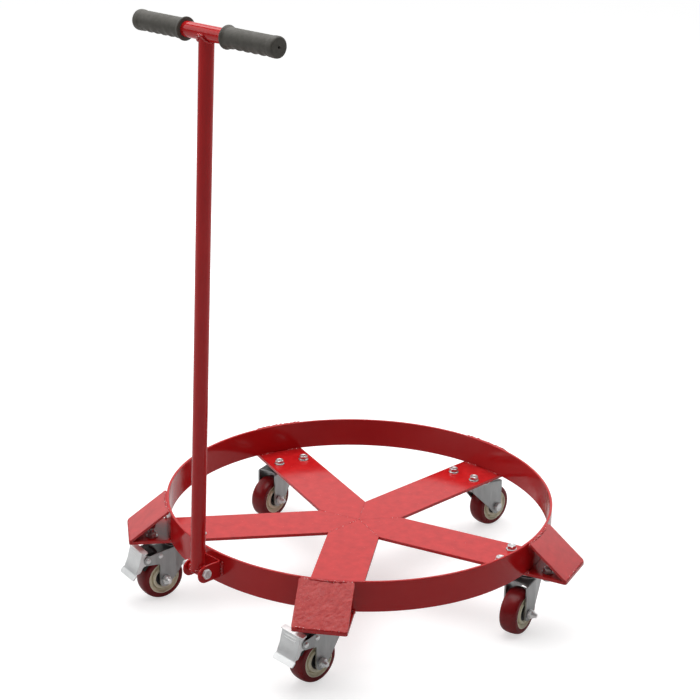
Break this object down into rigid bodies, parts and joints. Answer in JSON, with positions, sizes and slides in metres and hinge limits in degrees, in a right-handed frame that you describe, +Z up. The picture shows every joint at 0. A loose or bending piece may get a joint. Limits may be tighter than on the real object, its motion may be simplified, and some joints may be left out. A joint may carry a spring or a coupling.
{
  "type": "drum dolly",
  "caption": "Ring-topped drum dolly on flat spokes with swivel casters, two of them braked, and a hinged tubular T-handle.",
  "frame": {"origin": "centre of the deck, on the ring's axis at the top face of the spokes, where the drum's bottom rests", "axes": "+Z up along the ring's axis; the handle is hinged on the -Y side and its pivot axis is along X"},
  "size_m": [0.7152, 0.7085, 0.9229],
  "materials": {
    "red_paint": "glossy red powder coat on steel",
    "zinc_plate": "zinc-plated pressed steel, satin",
    "bright_zinc": "bright zinc plating",
    "tread_polyurethane": "maroon polyurethane, satin",
    "hub_plastic": "cream polypropylene",
    "bearing_steel": "steel bearing races with black seals",
    "black_plastic": "black moulded plastic",
    "grip_rubber": "dark grey rubber, matt"
  },
  "bodies": {
    "dolly_frame": {"drum_ring": "red_paint", "handle_bracket": "red_paint", "pivot_bolt": "bright_zinc", "pivot_nut": "bright_zinc", "spoke_1": "red_paint", "gusset_1": "red_paint", "swivel_plate_1": "zinc_plate", "spoke_2": "red_paint", "gusset_2": "red_paint", "swivel_plate_2": "zinc_plate", "spoke_3": "red_paint", "gusset_3": "red_paint", "swivel_plate_3": "zinc_plate", "spoke_4": "red_paint", "gusset_4": "red_paint", "swivel_plate_4": "zinc_plate", "spoke_5": "red_paint", "gusset_5": "red_paint", "swivel_plate_5": "zinc_plate"},
    "handle": {"pivot_sleeve": "red_paint", "handle_pole": "red_paint", "t_bar": "red_paint", "grip_left": "grip_rubber", "grip_right": "grip_rubber"},
    "swivel_1": {"fork_1": "zinc_plate", "axle_bolt_1": "bright_zinc", "axle_nut_1": "bright_zinc", "pedal_rivet_1": "bright_zinc"},
    "wheel_1": {"wheel_tread_1": "tread_polyurethane", "wheel_core_1": "hub_plastic", "wheel_bearing_1": "bearing_steel"},
    "pedal_1": {"brake_pedal_1": "bright_zinc"},
    "shoe_1": {"brake_shoe_1": "black_plastic"},
    "swivel_2": {"fork_2": "zinc_plate", "axle_bolt_2": "bright_zinc", "axle_nut_2": "bright_zinc", "pedal_rivet_2": "bright_zinc"},
    "wheel_2": {"wheel_tread_2": "tread_polyurethane", "wheel_core_2": "hub_plastic", "wheel_bearing_2": "bearing_steel"},
    "pedal_2": {"brake_pedal_2": "bright_zinc"},
    "shoe_2": {"brake_shoe_2": "black_plastic"},
    "swivel_3": {"fork_3": "zinc_plate", "axle_bolt_3": "bright_zinc", "axle_nut_3": "bright_zinc"},
    "wheel_3": {"wheel_tread_3": "tread_polyurethane", "wheel_core_3": "hub_plastic", "wheel_bearing_3": "bearing_steel"},
    "swivel_4": {"fork_4": "zinc_plate", "axle_bolt_4": "bright_zinc", "axle_nut_4": "bright_zinc"},
    "wheel_4": {"wheel_tread_4": "tread_polyurethane", "wheel_core_4": "hub_plastic", "wheel_bearing_4": "bearing_steel"},
    "swivel_5": {"fork_5": "zinc_plate", "axle_bolt_5": "bright_zinc", "axle_nut_5": "bright_zinc"},
    "wheel_5": {"wheel_tread_5": "tread_polyurethane", "wheel_core_5": "hub_plastic", "wheel_bearing_5": "bearing_steel"}
  },
  "joints": [
    {"name": "handle_tilt", "type": "hinge", "parent": "dolly_frame", "child": "handle", "pos_m": [0, -0.3325, 0.028], "axis": [1, 0, 0], "range_deg": [-34, 100]},
    {"name": "caster_swivel_1", "type": "hinge", "parent": "dolly_frame", "child": "swivel_1", "pos_m": [-0.16987, -0.23381, -0.0191], "axis": [0, 0, 1], "continuous": true},
    {"name": "wheel_spin_1", "type": "hinge", "parent": "swivel_1", "child": "wheel_1", "pos_m": [-0.17498, -0.26337, -0.0709], "axis": [0.9854, -0.1702, 0], "continuous": true},
    {"name": "brake_pedal_hinge_1", "type": "hinge", "parent": "swivel_1", "child": "pedal_1", "pos_m": [-0.18, -0.29244, -0.0326], "axis": [0.9854, -0.1702, 0], "range_deg": [0, 15]},
    {"name": "brake_shoe_hinge_1", "type": "hinge", "parent": "swivel_1", "child": "shoe_1", "pos_m": [-0.17634, -0.27125, -0.0291], "axis": [0.9854, -0.1702, 0], "range_deg": [0, 3]},
    {"name": "caster_swivel_2", "type": "hinge", "parent": "dolly_frame", "child": "swivel_2", "pos_m": [0.16987, -0.23381, -0.0191], "axis": [0, 0, 1], "continuous": true},
    {"name": "wheel_spin_2", "type": "hinge", "parent": "swivel_2", "child": "wheel_2", "pos_m": [0.16956, -0.2638, -0.0709], "axis": [0.9999, -0.0105, 0], "continuous": true},
    {"name": "brake_pedal_hinge_2", "type": "hinge", "parent": "swivel_2", "child": "pedal_2", "pos_m": [0.16925, -0.2933, -0.0326], "axis": [0.9999, -0.0105, 0], "range_deg": [0, 15]},
    {"name": "brake_shoe_hinge_2", "type": "hinge", "parent": "swivel_2", "child": "shoe_2", "pos_m": [0.16947, -0.2718, -0.0291], "axis": [0.9999, -0.0105, 0], "range_deg": [0, 3]},
    {"name": "caster_swivel_3", "type": "hinge", "parent": "dolly_frame", "child": "swivel_3", "pos_m": [0.27486, 0.08931, -0.0191], "axis": [0, 0, 1], "continuous": true},
    {"name": "wheel_spin_3", "type": "hinge", "parent": "swivel_3", "child": "wheel_3", "pos_m": [0.28094, 0.05993, -0.0709], "axis": [0.9792, 0.2028, 0], "continuous": true},
    {"name": "caster_swivel_4", "type": "hinge", "parent": "dolly_frame", "child": "swivel_4", "pos_m": [0, 0.289, -0.0191], "axis": [0, 0, 1], "continuous": true},
    {"name": "wheel_spin_4", "type": "hinge", "parent": "swivel_4", "child": "wheel_4", "pos_m": [0.00152, 0.31896, -0.0709], "axis": [-0.9987, 0.0506, 0], "continuous": true},
    {"name": "caster_swivel_5", "type": "hinge", "parent": "dolly_frame", "child": "swivel_5", "pos_m": [-0.27486, 0.08931, -0.0191], "axis": [0, 0, 1], "continuous": true},
    {"name": "wheel_spin_5", "type": "hinge", "parent": "swivel_5", "child": "wheel_5", "pos_m": [-0.27188, 0.05945, -0.0709], "axis": [0.9951, 0.0993, 0], "continuous": true}
  ],
  "couplings": [
    {"joint": "brake_shoe_hinge_1", "follows": "brake_pedal_hinge_1", "ratio": 0.2},
    {"joint": "brake_shoe_hinge_2", "follows": "brake_pedal_hinge_2", "ratio": 0.2}
  ]
}
